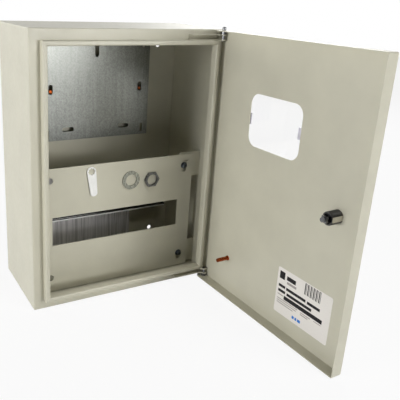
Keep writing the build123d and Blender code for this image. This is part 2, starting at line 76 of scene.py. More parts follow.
def srgb(red, green, blue):
    """Scene-linear colour of an 8-bit display colour."""
    share = np.array([red, green, blue]) / 255
    return tuple(np.where(share <= 0.04045, share / 12.92, ((share + 0.055) / 1.055) ** 2.4).tolist())


def colour_property(name, description, default):
    """A colour setting."""
    return bpy.props.FloatVectorProperty(
        name=name, description=description, default=default, size=3, min=0, max=1, subtype="COLOR"
    )


def length_property(name, description, default):
    """A length setting in metres."""
    return bpy.props.FloatProperty(
        name=name, description=description, default=default, min=0, unit="LENGTH", precision=5
    )


class EnclosureColours(bpy.types.PropertyGroup):
    """Colours of the finishes."""

    coat: colour_property("Coat", "Powder coat of the sheet steel", srgb(199, 196, 178))
    zinc_sheet: colour_property("Zinc sheet", "Hot-dip zinc of the meter plate", srgb(128, 130, 126))
    rail_zinc: colour_property("Rail zinc", "Rolled zinc of the rail's plate", srgb(232, 230, 230))
    zinc_plate: colour_property("Zinc plate", "Bright zinc of rail and nuts", srgb(248, 248, 246))
    washer: colour_property("Washer", "Dull zinc of the lock washer", srgb(158, 160, 150))
    cam: colour_property("Cam", "Matt bright zinc of the lock cam", srgb(250, 250, 248))
    chrome: colour_property("Chrome", "Plating of the lock", srgb(208, 204, 196))
    blue_zinc: colour_property(
        "Blue zinc", "Blue-passivated zinc of the screws and their washers", srgb(106, 112, 119)
    )
    steel: colour_property(
        "Steel", "Dark plated steel of hinge pins, lock core and lock nut", srgb(116, 117, 119)
    )
    # Painted shade: this dark colour stands for the shading of the barrel's thread, end rim and recess.
    thread: colour_property("Lock thread", "Dull plating in the barrel's thread", srgb(92, 91, 90))
    copper: colour_property("Copper", "Plating of the weld studs", srgb(188, 92, 42))
    clip: colour_property("Clip", "Plastic of the pane clips", srgb(236, 233, 243))
    paper: colour_property("Paper", "Label paper", srgb(236, 232, 226))
    ink: colour_property("Ink", "Dark print on the label", srgb(26, 25, 26))
    pale_ink: colour_property("Pale ink", "Fine print on the label", srgb(150, 145, 141))
    accent: colour_property("Accent", "Coloured field on the label", srgb(44, 112, 190))
    floor: colour_property("Floor", "Studio floor", srgb(238, 238, 238))


class EnclosureSizes(bpy.types.PropertyGroup):
    """Sizes of the pieces that are made here."""

    earth_stud_diameter: length_property("Earth stud", "Outer diameter of the door's earth stud", 6.0 * MM)
    earth_stud_length: length_property("Earth stud length", "From the sheet to the tip", 20.5 * MM)
    collar_diameter: length_property("Collar", "Diameter of the collar at the earth stud's foot", 8.0 * MM)
    collar_height: length_property("Collar height", "Thickness of the collar", 1.2 * MM)
    plate_stud_diameter: length_property("Plate stud", "Outer diameter of the plate studs", 5.0 * MM)
    plate_stud_length: length_property("Plate stud length", "From the back sheet to the tip", 10.3 * MM)
    thread_pitch: length_property("Pitch", "Rise of the studs' thread in one turn", 1.0 * MM)
    thread_depth: length_property("Thread depth", "From crest to root", 0.3 * MM)
    barrel_diameter: length_property("Lock barrel", "Outer diameter of the barrel's thread", 17.4 * MM)
    barrel_flats: length_property("Barrel flats", "Width over the two flats", 15.6 * MM)
    barrel_length: length_property("Barrel length", "From the door's outer face to the barrel's end", 18.7 * MM)
    barrel_head: length_property("Lock head", "Diameter of the head on the outer face", 22.0 * MM)
    barrel_head_height: length_property("Lock head height", "Thickness of the head", 3.0 * MM)
    barrel_bore: length_property("Barrel bore", "Bore that holds the core", 11.16 * MM)
    barrel_recess: length_property("End recess", "Diameter of the recess in the barrel's end", 13.6 * MM)
    barrel_recess_depth: length_property("End recess depth", "Depth of that recess", 4.0 * MM)
    barrel_pitch: length_property("Barrel pitch", "Rise of the barrel's thread in one turn", 1.0 * MM)
    barrel_thread_depth: length_property("Barrel thread depth", "From crest to root", 0.28 * MM)
    barrel_rounding: length_property("Head rounding", "Radius of the head's front edge", 1.0 * MM)
    core_screw: length_property("Core screw", "Outer diameter of the core's screw end", 6.3 * MM)
    core_screw_start: length_property(
        "Core screw start", "From the door's outer face to the screw end", 24.9 * MM
    )
    core_screw_length: length_property("Core screw length", "Length of the screw end", 3.4 * MM)
    half_height: length_property("Half height", "Half of the cabinet's height", 200.0 * MM)
    lip_corner_x: length_property("Lip corner X", "Middle of the lip from the cabinet's middle", 131.75 * MM)
    lip_corner_z: length_property(
        "Lip corner Z", "Middle of the lip from half the cabinet's height", 181.75 * MM
    )
    lip_front: length_property("Lip front", "From the cabinet's middle to the lip's front face", 82.0 * MM)
    lip_width: length_property("Lip width", "Width of the lip's front face with its bends", 6.5 * MM)
    lip_bend: length_property("Lip bend", "Outer radius of the lip's bends", 2.0 * MM)
    weld_radius: length_property("Weld bead", "Half width of a weld bead", 0.7 * MM)
    seam_drop: length_property("Seam drop", "From the lip's upper right corner down to its seam", 12.0 * MM)
    seam_length: length_property("Seam length", "Length of the seam on the lip's right side", 16.0 * MM)
    seam_sway: length_property("Seam sway", "How far the seam strays from a straight line", 0.3 * MM)
    rail_edge: length_property("Rail edge", "Radius of the rail's rolled edges", 0.45 * MM)
    # Height of the painted highlight: the pale strip at the foot of the rail's lower flange, with painted shade
    # above it.
    rail_painted_highlight: length_property("Rail painted highlight", "Height of the pale strip on the rail's lower flange", 2.4 * MM)
    pane_gap: length_property("Pane gap", "Air between the pane and the door's sheet", 0.03 * MM)
    paper_half: length_property("Paper", "Half of the label paper's thickness", 0.1 * MM)
    print_height: length_property("Print", "Thickness of the printed fields", 0.03 * MM)


class EnclosureStage(bpy.types.PropertyGroup):
    """Light and camera."""

    fill: bpy.props.FloatProperty(name="Fill", description="Strength of the surroundings", default=0.02, min=0)
    floor_white: bpy.props.FloatProperty(
        name="Floor white", description="Share of plain white in the floor as it is seen",
        default=0.9, min=0, max=1,
    )
    lamps: bpy.props.FloatProperty(
        name="Lamps", description="Strength of all lamps together", default=1.03, min=0
    )
    focal_length: bpy.props.FloatProperty(
        name="Focal length", description="Focal length of the camera", default=50.014, unit="CAMERA"
    )
    shift: bpy.props.FloatVectorProperty(
        name="Shift", description="Shift of the picture's middle", default=(0.1453, -0.0577), size=2
    )


def new_material(name):
    """A node material, with its tree, its shader and the piece's own coordinates."""
    material = bpy.data.materials.new(name)
    material.use_nodes = True
    tree = material.node_tree
    place = tree.nodes.new("ShaderNodeTexCoord")
    return material, tree, tree.nodes["Principled BSDF"], place.outputs["Object"]


def stretched(tree, place, scale, turn=(0, 0, 0)):
    """Coordinates scaled and turned by a Mapping node."""
    mapping = tree.nodes.new("ShaderNodeMapping")
    mapping.inputs["Scale"].default_value = scale
    mapping.inputs["Rotation"].default_value = turn
    tree.links.new(place, mapping.inputs["Vector"])
    return mapping.outputs["Vector"]


def noise(tree, place, scale, detail=2.0, rough=0.5):
    """Factor of a noise texture with so many features in a metre."""
    texture = tree.nodes.new("ShaderNodeTexNoise")
    texture.inputs["Scale"].default_value = scale
    texture.inputs["Detail"].default_value = detail
    texture.inputs["Roughness"].default_value = rough
    tree.links.new(place, texture.inputs["Vector"])
    return texture.outputs["Fac"]


def flakes(tree, place, scale):
    """Random grey of the cells of a Voronoi texture with so many cells in a metre."""
    texture = tree.nodes.new("ShaderNodeTexVoronoi")
    texture.inputs["Scale"].default_value = scale
    tree.links.new(place, texture.inputs["Vector"])
    grey = tree.nodes.new("ShaderNodeSeparateColor")
    tree.links.new(texture.outputs["Color"], grey.inputs["Color"])
    return grey.outputs["Red"]


def ranged(tree, factor, low, high, start=0.3, end=0.7):
    """A factor from start to end, spread over the range from low to high."""
    spread = tree.nodes.new("ShaderNodeMapRange")
    spread.inputs["From Min"].default_value = start
    spread.inputs["From Max"].default_value = end
    spread.inputs["To Min"].default_value = low
    spread.inputs["To Max"].default_value = high
    tree.links.new(factor, spread.inputs["Value"])
    return spread.outputs["Result"]


def between(tree, factor, first, second):
    """A colour between two, by a factor."""
    mix = tree.nodes.new("ShaderNodeMix")
    mix.data_type = "RGBA"
    tree.links.new(factor, mix.inputs[0])
    mix.inputs[6].default_value = (*first, 1)
    mix.inputs[7].default_value = (*second, 1)
    return mix.outputs[2]


def shaded(colour, share):
    """A colour made darker or lighter by a share."""
    return tuple(min(1.0, part * share) for part in colour)


def bumped(tree, shader, height, depth, strength=1.0):
    """Small relief of a given depth on the shader."""
    bump = tree.nodes.new("ShaderNodeBump")
    bump.inputs["Strength"].default_value = strength
    bump.inputs["Distance"].default_value = depth
    tree.links.new(height, bump.inputs["Height"])
    tree.links.new(bump.outputs["Normal"], shader.inputs["Normal"])


def clouded(tree, shader, place, scale, detail, dark, light, rough=0.5):
    """A base colour that drifts between two tones in soft clouds; gives back the clouds' factor."""
    cloud = ranged(tree, noise(tree, place, scale, detail, rough), 0, 1)
    tree.links.new(between(tree, cloud, dark, light), shader.inputs["Base Color"])
    return cloud


def glossed(tree, shader, factor, low, high, start=0.3, end=0.7):
    """A roughness that follows a factor between two values."""
    tree.links.new(ranged(tree, factor, low, high, start, end), shader.inputs["Roughness"])


def powder_coat(colours):
    """Light grey powder coat: fine orange peel and faint clouds in its tone and gloss."""
    material, tree, shader, place = new_material("powder_coat")
    clouded(tree, shader, place, 22, 3, shaded(colours.coat, 0.96), shaded(colours.coat, 1.03))
    glossed(tree, shader, noise(tree, place, 160), 0.34, 0.46)
    bumped(tree, shader, noise(tree, place, 900), 0.06 * MM, 0.5)
    return material


def zinc_sheet(colours):
    """Hot-dip zinc: small crystals that differ in tone and gloss, with faint upright rolling streaks."""
    material, tree, shader, place = new_material("zinc_sheet")
    shader.inputs["Metallic"].default_value = 1.0
    crystal = flakes(tree, stretched(tree, place, (1, 1, 0.8)), 620)
    streak = noise(tree, stretched(tree, place, (1, 1, 0.05)), 240, 3)
    mix = tree.nodes.new("ShaderNodeMath")
    mix.operation = "MULTIPLY_ADD"
    tree.links.new(crystal, mix.inputs[0])
    mix.inputs[1].default_value = 0.8
    tree.links.new(streak, mix.inputs[2])
    tone = ranged(tree, mix.outputs[0], 0, 1, 0.4, 1.4)
    colour = between(tree, tone, shaded(colours.zinc_sheet, 0.72), shaded(colours.zinc_sheet, 1.12))
    tree.links.new(colour, shader.inputs["Base Color"])
    glossed(tree, shader, crystal, 0.28, 0.42, 0, 1)
    bumped(tree, shader, noise(tree, place, 900), 0.04 * MM, 0.4)
    return material


def rail_zinc(colours):
    """Rolled zinc of the rail's plate: paler and duller, with upright streaks."""
    material, tree, shader, place = new_material("rail_zinc")
    shader.inputs["Metallic"].default_value = 0.25
    upright = stretched(tree, place, (1, 1, 0.03))
    dark = shaded(colours.rail_zinc, 0.45)
    streak = clouded(tree, shader, upright, 330, 3, dark, colours.rail_zinc, 0.6)
    glossed(tree, shader, noise(tree, place, 300), 0.28, 0.42)
    bumped(tree, shader, streak, 0.03 * MM, 0.4)
    return material


def zinc_plate(name, colour, metallic):
    """Zinc plating with faint clouds and fine handling scratches."""
    material, tree, shader, place = new_material(name)
    shader.inputs["Metallic"].default_value = metallic
    clouded(tree, shader, place, 45, 2, shaded(colour, 0.96), shaded(colour, 1.02))
    scratch = noise(tree, stretched(tree, place, (1, 1, 0.1), (0, 0.6, 0)), 1500)
    glossed(tree, shader, scratch, 0.22, 0.32)
    bumped(tree, shader, scratch, 0.01 * MM, 0.1)
    return material


def rail_plating_painted_light(colours, low, painted_highlight_height):
    """Zinc of the module rail, its colour painted by height: a pale matt strip on the face of its lower flange
    is a painted highlight, and the near-black, mirror-like colour above it is painted shade.
    """
    material, tree, shader, place = new_material("rail_plating_painted_light")
    parts = tree.nodes.new("ShaderNodeSeparateXYZ")
    tree.links.new(place, parts.inputs["Vector"])
    height = ranged(tree, parts.outputs["Z"], 0.0, 1.0, low + painted_highlight_height, low + 1.2 * painted_highlight_height)
    tree.links.new(height, shader.inputs["Metallic"])
    # Painted light by height: the pale zinc below is a painted highlight, and the near-black zinc above is
    # painted shade.
    colour = between(tree, height, colours.zinc_plate, shaded(colours.zinc_plate, 0.06))
    tree.links.new(colour, shader.inputs["Base Color"])
    glossed(tree, shader, noise(tree, place, 600), 0.18, 0.28)
    return material


def lock_chrome(colours):
    """Chrome on a die-cast body: almost a mirror, with faint ripples."""
    material, tree, shader, place = new_material("lock_chrome")
    shader.inputs["Metallic"].default_value = 1.0
    clouded(tree, shader, place, 300, 2, shaded(colours.chrome, 0.93), colours.chrome)
    glossed(tree, shader, noise(tree, place, 900), 0.07, 0.14)
    bumped(tree, shader, noise(tree, place, 500, 1), 0.02 * MM, 0.4)
    return material


def lock_thread_painted_shade(colours):
    """Dark colour on the barrel's thread, end rim and recess: painted shade for the shading of the thread's
    flanks and of the recess, matt and a little uneven in tone.
    """
    material, tree, shader, place = new_material("lock_thread_painted_shade")
    shader.inputs["Metallic"].default_value = 1.0
    clouded(tree, shader, place, 700, 3, shaded(colours.thread, 0.6), colours.thread)
    glossed(tree, shader, noise(tree, place, 900), 0.3, 0.45)
    return material


def copper_plate(colours):
    """Thin copper plating, duller and darker in patches."""
    material, tree, shader, place = new_material("copper_plate")
    shader.inputs["Metallic"].default_value = 1.0
    clouded(tree, shader, place, 420, 4, shaded(colours.copper, 0.35), colours.copper, 0.6)
    glossed(tree, shader, noise(tree, place, 800, 3), 0.14, 0.28)
    return material


def clear_pane():
    """Clear moulded plastic with a faint ripple: light goes straight through, and a small share is mirrored."""
    material, tree, shader, place = new_material("clear_pane")
    shader.inputs["Metallic"].default_value = 1.0
    shader.inputs["Alpha"].default_value = PANE_MIRROR
    clouded(tree, shader, place, 12, 2, (0.9, 0.92, 0.93), (1, 1, 1))
    glossed(tree, shader, noise(tree, place, 60), 0.02, 0.05)
    bumped(tree, shader, noise(tree, place, 25, 1), 0.03 * MM, 0.3)
    return material


def clip_plastic(colours):
    """Milky moulded plastic of the pane clips."""
    material, tree, shader, place = new_material("clip_plastic")
    shader.inputs["Transmission Weight"].default_value = 0.25
    clouded(tree, shader, place, 180, 3, shaded(colours.clip, 0.9), shaded(colours.clip, 1.05))
    glossed(tree, shader, noise(tree, place, 500), 0.3, 0.42)
    bumped(tree, shader, noise(tree, place, 1200), 0.03 * MM, 0.4)
    return material


def label_paper(colours):
    """Coated label paper with fine fibre."""
    material, tree, shader, place = new_material("label_paper")
    dark, light = shaded(colours.paper, 0.95), shaded(colours.paper, 1.02)
    fibre = clouded(tree, shader, place, 900, 4, dark, light, 0.65)
    glossed(tree, shader, noise(tree, place, 400), 0.38, 0.5)
    bumped(tree, shader, fibre, 0.01 * MM, 0.4)
    return material


def printing_ink(name, colour):
    """Printed ink, a little uneven in its cover."""
    material, tree, shader, place = new_material(name)
    shader.inputs["Specular IOR Level"].default_value = 0.15
    clouded(tree, shader, place, 1500, 3, colour, shaded(colour, 1.5), 0.6)
    glossed(tree, shader, noise(tree, place, 600), 0.4, 0.55)
    return material


def dress(material, *names):
    """Gives CAD nodes a finish."""
    for name in names:
        node = frame["nodes"][name]
        node.data.materials.clear()
        node.data.materials.append(material)


def joined_modifier(name, label, kind):
    """A modifier that works on a CAD node's closed shell: a weld joins its loose triangles first."""
    node = frame["nodes"][name]
    node.modifiers.new("joined_faces", "WELD").merge_threshold = 0.001 * MM
    return node.modifiers.new(label, kind)


def tube_faces(rows, columns, start, closed):
    """Quads of a grid that closes round its columns, with its end rows joined or capped."""
    last = rows if closed else rows - 1
    row, column = np.meshgrid(np.arange(last), np.arange(columns), indexing="ij")
    below, after = (row + 1) % rows, (column + 1) % columns
    corners = ((row, column), (row, after), (below, after), (below, column))
    quads = np.stack([line * columns + place for line, place in corners], axis=-1)
    faces = (start + quads.reshape(-1, 4)).tolist()
    if not closed:
        ring = start + np.arange(columns)
        faces += [ring[::-1].tolist(), (ring + (rows - 1) * columns).tolist()]
    return faces


def surface_piece(name, grids, material, body, closed=False, crease=35):
    """One piece from tube-shaped grids of points, smooth but for its sharp edges."""
    faces, start = [], 0
    for grid in grids:
        faces += tube_faces(grid.shape[0], grid.shape[1], start, closed)
        start += grid.shape[0] * grid.shape[1]
    mesh = bpy.data.meshes.new(name)
    mesh.from_pydata(np.concatenate([grid.reshape(-1, 3) for grid in grids]).tolist(), [], faces)
    shell = bmesh.new()
    shell.from_mesh(mesh)
    bmesh.ops.recalc_face_normals(shell, faces=shell.faces)
    shell.to_mesh(mesh)
    shell.free()
    mesh.shade_smooth()
    mesh.set_sharp_from_angle(angle=math.radians(crease))
    mesh.materials.append(material)
    piece = bpy.data.objects.new(name, mesh)
    bpy.context.scene.collection.objects.link(piece)
    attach(piece, body)
    return piece


def about_axis(start, along, height, radius, angle):
    """Points at a height along an axis, at a radius and an angle about it."""
    along = np.array(Vector(along).normalized())
    up = np.array([0.0, 0.0, 1.0])
    side = np.cross(up, along)
    out = np.cos(angle)[..., None] * side + np.sin(angle)[..., None] * up
    return np.array(start) + height[..., None] * along + radius[..., None] * out


def thread_wave(height, angle, pitch):
    """Depth of a thread as a share: a triangle wave, 1 to 0 and back, of height / pitch - angle / full turn."""
    return np.abs(2 * ((height / pitch - angle / FULL_TURN) % 1) - 1)


def threaded_stud(start, along, diameter, length, pitch, depth, collar=None):
    """A stud: its radius is half the diameter, less the depth times the thread's wave.
    The wave fades out at the tip's chamfer, and a round collar stands at the foot."""
    rows = np.linspace(0, length, int(length / pitch * THREAD_ROWS))
    turn = np.linspace(0, FULL_TURN, STUD_SIDES, endpoint=False)
    height, angle = np.meshgrid(rows, turn, indexing="ij")
    radius = diameter / 2 - depth * thread_wave(height, angle, pitch)
    radius = np.minimum(radius, diameter / 2 - 0.8 * depth + (length - height))
    if collar:
        width, thick = collar
        crown = width / 2 - 0.3 * (height / thick) ** 4 * (width - diameter)
        radius = np.where(height <= thick, np.maximum(radius, crown), radius)
    return about_axis(start, along, height, radius, angle)


def door_axis():
    """Outward direction of the open door, and the point where the lock passes its outer face."""
    lock = next(joint for joint in frame["joints"] if joint["name"] == "lock_turn")
    return np.array(lock["axis"]), np.array(lock["pos_m"])


class ENCLOSURE_OT_coat_sheets(bpy.types.Operator):
    """Powder-coat the folded sheets and welded brackets"""

    bl_idname = "enclosure.coat_sheets"
    bl_label = "Coat the sheets"

    def execute(self, context):
        coat = powder_coat(context.scene.enclosure_colours)
        dress(coat, "cabinet_shell", "back_panel", "hinge_bracket_upper", "hinge_bracket_lower")
        dress(coat, "inner_cover", "door_panel")
        for level in ("lower", "upper"):
            dress(coat, *(f"cover_bracket_{level}_{side}" for side in ("left", "right")))
        return {"FINISHED"}


class ENCLOSURE_OT_weld_beads(bpy.types.Operator):
    """Make the coated weld beads over the mitred corners of the lip, and one at its upper right"""

    bl_idname = "enclosure.weld_beads"
    bl_label = "Make the weld beads"

    def execute(self, context):
        sizes = context.scene.enclosure_sizes
        coat = powder_coat(context.scene.enclosure_colours)
        half = sizes.lip_width / 2
        share = np.linspace(-1, 1, 25)
        past = np.maximum(np.abs(share) * half - (half - sizes.lip_bend), 0)
        sunk = sizes.lip_bend - np.sqrt(sizes.lip_bend**2 - np.minimum(past, 0.95 * sizes.lip_bend) ** 2)
        beads = []
        for side in (-1, 1):
            for level in (-1, 1):
                path = np.stack([
                    side * (sizes.lip_corner_x + half * share),
                    sunk - sizes.lip_front,
                    sizes.half_height + level * (sizes.lip_corner_z + half * share),
                ], axis=-1)
                beads.append(weld_bead(path, sizes.weld_radius))
        fall = np.linspace(0, 1, 60)
        seam = np.stack([
            sizes.lip_corner_x + sizes.seam_sway * np.sin(9 * fall),
            np.full(fall.size, -sizes.lip_front),
            sizes.half_height + sizes.lip_corner_z - sizes.seam_drop - sizes.seam_length * fall,
        ], axis=-1)
        beads.append(weld_bead(seam, 1.3 * sizes.weld_radius))
        surface_piece("weld_beads", beads, coat, "cabinet", crease=80)
        return {"FINISHED"}


def weld_bead(path, radius):
    """A tube along a path on the lip. Its half width is the radius times a ripple, a sine of the share of the
    path, and falls to nothing at both ends as the fourth root of a parabola.
    It stands out by a third of its half width."""
    turn = np.linspace(0, FULL_TURN, BEAD_SIDES, endpoint=False)
    share, angle = np.meshgrid(np.linspace(0, 1, len(path)), turn, indexing="ij")
    ends = np.maximum(4 * share * (1 - share), 1e-4) ** 0.25
    wide = radius * ends * (1 + 0.18 * np.sin(50 * share))
    out = np.array([0, -1, 0])
    side = np.cross(np.gradient(path, axis=0), out)
    side /= np.linalg.norm(side, axis=1, keepdims=True)
    across = (wide * np.cos(angle))[..., None] * side[:, None]
    return path[:, None] + across + (wide / 3 * np.sin(angle))[..., None] * out


class ENCLOSURE_OT_zinc_plates(bpy.types.Operator):
    """Galvanise the meter plate, the rail plate and the module rail"""

    bl_idname = "enclosure.zinc_plates"
    bl_label = "Galvanise the plates"

    def execute(self, context):
        colours, sizes = context.scene.enclosure_colours, context.scene.enclosure_sizes
        dress(zinc_sheet(colours), "meter_plate")
        dress(rail_zinc(colours), "rail_plate")
        low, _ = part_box("din_rail")
        # The rail gets painted light: a pale strip as a painted highlight, and near-black above it as painted
        # shade.
        dress(rail_plating_painted_light(colours, low.z, sizes.rail_painted_highlight), "din_rail")
        soften = joined_modifier("din_rail", "rolled_edges", "BEVEL")
        soften.width = sizes.rail_edge
        soften.segments = EDGE_SEGMENTS
        return {"FINISHED"}


class ENCLOSURE_OT_fasteners(bpy.types.Operator):
    """Plate the screws, nuts, washers, hinge pins and the loose lock fittings"""

    bl_idname = "enclosure.fasteners"
    bl_label = "Plate the fasteners"

    def execute(self, context):
        colours = context.scene.enclosure_colours
        dress(zinc_plate("cam_zinc", colours.cam, 0.0), "lock_cam")
        dress(zinc_plate("bright_zinc", colours.zinc_plate, 0.7), "rail_nuts")
        dress(zinc_plate("washer_zinc", colours.washer, 0.6), "lock_washer")
        blue = zinc_plate("blue_zinc", colours.blue_zinc, 1.0)
        dress(blue, "rail_screws", "cover_screws", "cover_washers")
        steel = zinc_plate("dark_steel", colours.steel, 1.0)
        dress(steel, "hinge_pin_upper", "hinge_pin_lower", "lock_nut")
        return {"FINISHED"}


class ENCLOSURE_OT_lock(bpy.types.Operator):
    """Make the threaded lock barrel and the core's screw end"""

    bl_idname = "enclosure.lock"
    bl_label = "Make the lock"

    def execute(self, context):
        sizes, colours = context.scene.enclosure_sizes, context.scene.enclosure_colours
        steel = zinc_plate("core_steel", colours.steel, 1.0)
        dress(steel, "lock_plug")
        outward, face = door_axis()
        grid, painted_shade_faces = lock_barrel_grid(sizes, face, -outward)
        barrel = surface_piece(
            "lock_barrel_threaded", [grid], lock_chrome(colours), "door", closed=True, crease=50
        )
        # The thread, end rim and recess are given a dark colour as painted shade.
        barrel.data.materials.append(lock_thread_painted_shade(colours))
        barrel.data.polygons.foreach_set("material_index", painted_shade_faces.astype(np.int32).ravel())
        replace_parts(barrel, "lock_barrel")
        screw = threaded_stud(
            face - sizes.core_screw_start * outward, -outward, sizes.core_screw, sizes.core_screw_length,
            FINE_THREAD * sizes.thread_pitch, FINE_THREAD * sizes.thread_depth,
        )
        surface_piece("core_screw_thread", [screw], steel, "lock_core")
        return {"FINISHED"}


def lock_barrel_grid(sizes, face, inward):
    """A closed profile turned about the lock's axis: head, threaded body, end recess and bore.
    Body radii carry the thread's wave and are cut off at the two flats, half the flats over |cos(angle)|.
    The second grid is true on the faces of the thread that the flats leave, and on the end with its recess;
    these faces get the dark thread colour as painted shade."""
    body, bore, rim = sizes.barrel_diameter / 2, sizes.barrel_bore / 2, sizes.barrel_recess / 2
    head, front, end = sizes.barrel_head / 2, -sizes.barrel_head_height, sizes.barrel_length
    floor = end - sizes.barrel_recess_depth
    thread = np.linspace(1.6 * MM, end - 0.5 * MM, 140)
    bend = np.linspace(0, np.pi / 2, 6)
    rounding = sizes.barrel_rounding
    heights = np.concatenate([
        [front + 0.01 * MM], front + rounding * (1 - np.cos(bend)), [0, 0], thread, [end, end, floor, floor],
    ])
    radii = np.concatenate([
        [bore], head - rounding * (1 - np.sin(bend)), [head, body], np.full(thread.size, body),
        [body - 0.4 * MM, rim, rim, bore],
    ])
    on_body = (heights > 0) & (radii > rim)
    cut = np.concatenate([np.zeros(bend.size + 3), np.ones(thread.size), np.zeros(4)])
    turn = np.linspace(0, FULL_TURN, BARREL_SIDES, endpoint=False)
    height, angle = np.meshgrid(heights, turn, indexing="ij")
    wave = thread_wave(height, angle, sizes.barrel_pitch)
    radius = radii[:, None] - sizes.barrel_thread_depth * wave * cut[:, None]
    flat = sizes.barrel_flats / 2 / np.maximum(np.abs(np.cos(angle)), 1e-6)
    # Faces of the thread outside the flats, and the end rim and recess, get a dark colour as painted shade.
    painted_shade_faces = (cut[:, None] > 0) & (flat > radius)
    painted_shade_faces[-4:-1] = True
    radius = np.where(on_body[:, None], np.minimum(radius, flat), radius)
    return about_axis(face, inward, height, radius, angle), painted_shade_faces


class ENCLOSURE_OT_studs(bpy.types.Operator):
    """Make the threaded earth stud of the door and the two plate studs"""

    bl_idname = "enclosure.studs"
    bl_label = "Make the studs"

    def execute(self, context):
        sizes = context.scene.enclosure_sizes
        copper = copper_plate(context.scene.enclosure_colours)
        pitch, depth = sizes.thread_pitch, sizes.thread_depth
        outward, _ = door_axis()
        low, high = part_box("door_earth_stud")
        foot = np.array((low + high) / 2) + outward * sizes.earth_stud_length / 2
        stud = threaded_stud(
            foot, -outward, sizes.earth_stud_diameter, sizes.earth_stud_length, pitch, depth,
            (sizes.collar_diameter, sizes.collar_height),
        )
        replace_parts(surface_piece("earth_stud_threaded", [stud], copper, "door"), "door_earth_stud")
        low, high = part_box("plate_studs")
        height = (low.z + high.z) / 2
        half = sizes.plate_stud_diameter / 2
        studs = [
            threaded_stud(
                (x, high.y, height), (0, -1, 0), 2 * half, sizes.plate_stud_length,
                pitch * FINE_THREAD, depth * FINE_THREAD,
            )
            for x in (low.x + half, high.x - half)
        ]
        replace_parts(surface_piece("plate_studs_threaded", studs, copper, "cabinet"), "plate_studs")
        return {"FINISHED"}


class ENCLOSURE_OT_window(bpy.types.Operator):
    """Finish the clear pane and its clips"""

    bl_idname = "enclosure.window"
    bl_label = "Finish the window"

    def execute(self, context):
        colours, sizes = context.scene.enclosure_colours, context.scene.enclosure_sizes
        dress(clear_pane(), "window_pane")
        shrink = joined_modifier("window_pane", "clear_of_sheet", "DISPLACE")
        shrink.mid_level = 0
        shrink.strength = -sizes.pane_gap
        dress(clip_plastic(colours), "pane_clips")
        return {"FINISHED"}


# Each printed field has its left, right, upper and lower edge, as shares of the label's width and height.
DARK_FIELDS = (
    (0.04, 0.14, 0.07, 0.23), (0.18, 0.35, 0.11, 0.20),
    (0.04, 0.17, 0.355, 0.415), (0.19, 0.56, 0.36, 0.42), (0.59, 0.82, 0.365, 0.425),
    (0.04, 0.18, 0.465, 0.525), (0.21, 0.68, 0.47, 0.53), (0.165, 0.88, 0.56, 0.645),
    *((at, at + wide, 0.02, 0.26) for at, wide in zip(np.arange(0.52, 0.82, 0.025), (0.016, 0.008) * 6)),
)
PALE_FIELDS = (
    (0.19, 0.37, 0.23, 0.28), (0.04, 0.15, 0.575, 0.595), (0.04, 0.44, 0.665, 0.685),
    (0.04, 0.42, 0.71, 0.73), (0.04, 0.36, 0.755, 0.775), (0.50, 0.68, 0.675, 0.695),
    (0.50, 0.64, 0.715, 0.735), (0.74, 0.87, 0.67, 0.685),
)
ACCENT_FIELDS = ((0.36, 0.40, 0.86, 0.92), (0.415, 0.45, 0.86, 0.92), (0.465, 0.52, 0.86, 0.92))


class ENCLOSURE_OT_label(bpy.types.Operator):
    """Finish the paper label and print its plain fields"""

    bl_idname = "enclosure.label"
    bl_label = "Print the label"

    def execute(self, context):
        colours, sizes = context.scene.enclosure_colours, context.scene.enclosure_sizes
        dress(label_paper(colours), "door_label")
        for name, colour, fields in (
            ("label_print_dark", colours.ink, DARK_FIELDS),
            ("label_print_pale", colours.pale_ink, PALE_FIELDS),
            ("label_print_accent", colours.accent, ACCENT_FIELDS),
        ):
            boxes = printed_fields(np.array(fields), sizes.paper_half, sizes.print_height)
            surface_piece(name, boxes, printing_ink(name, colour), "door")
        return {"FINISHED"}


def printed_fields(fields, paper, thick):
    """Flat boxes on the label's face: each field runs between two shares of the label's width and two of its
    height, counted from its upper left corner. It starts inside the paper, half the way from the label's middle
    to its face, and stands out from the paper by the print's thickness."""
    outward, _ = door_axis()
    up = np.array([0, 0, 1])
    low, high = (np.array(corner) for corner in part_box("door_label"))
    right = np.cross(outward, up)
    width, height = np.linalg.norm((high - low)[:2]), (high - low)[2]
    across = fields[:, [0, 1, 1, 0]] - 0.5
    down = fields[:, [2, 2, 3, 3]] - 0.5
    flat = (low + high) / 2 + (width * across)[..., None] * right - (height * down)[..., None] * up
    return list(np.stack([flat - paper / 2 * outward, flat - (paper + thick) * outward], axis=1))


def studio_ground(colour, white):
    """Pale floor that is mostly plain white to the camera, gloss and glass, and keeps a faint shadow."""
    material, tree, shader, place = new_material("studio_ground")
    clouded(tree, shader, place, 3, 2, shaded(colour, 0.985), colour)
    shader.inputs["Roughness"].default_value = 0.9
    shader.inputs["Specular IOR Level"].default_value = 0.0
    glow = tree.nodes.new("ShaderNodeEmission")
    glow.inputs["Strength"].default_value = 1.0
    mix = tree.nodes.new("ShaderNodeMixShader")
    tree.links.new(ranged(tree, ray_seen(tree), 0.0, white, 0.0, 1.0), mix.inputs["Fac"])
    tree.links.new(shader.outputs["BSDF"], mix.inputs[1])
    tree.links.new(glow.outputs["Emission"], mix.inputs[2])
    tree.links.new(mix.outputs["Shader"], tree.nodes["Material Output"].inputs["Surface"])
    return material


def arithmetic(tree, operation, first, second):
    """Result of a Math node on two sockets."""
    node = tree.nodes.new("ShaderNodeMath")
    node.operation = operation
    tree.links.new(first, node.inputs[0])
    tree.links.new(second, node.inputs[1])
    return node.outputs[0]


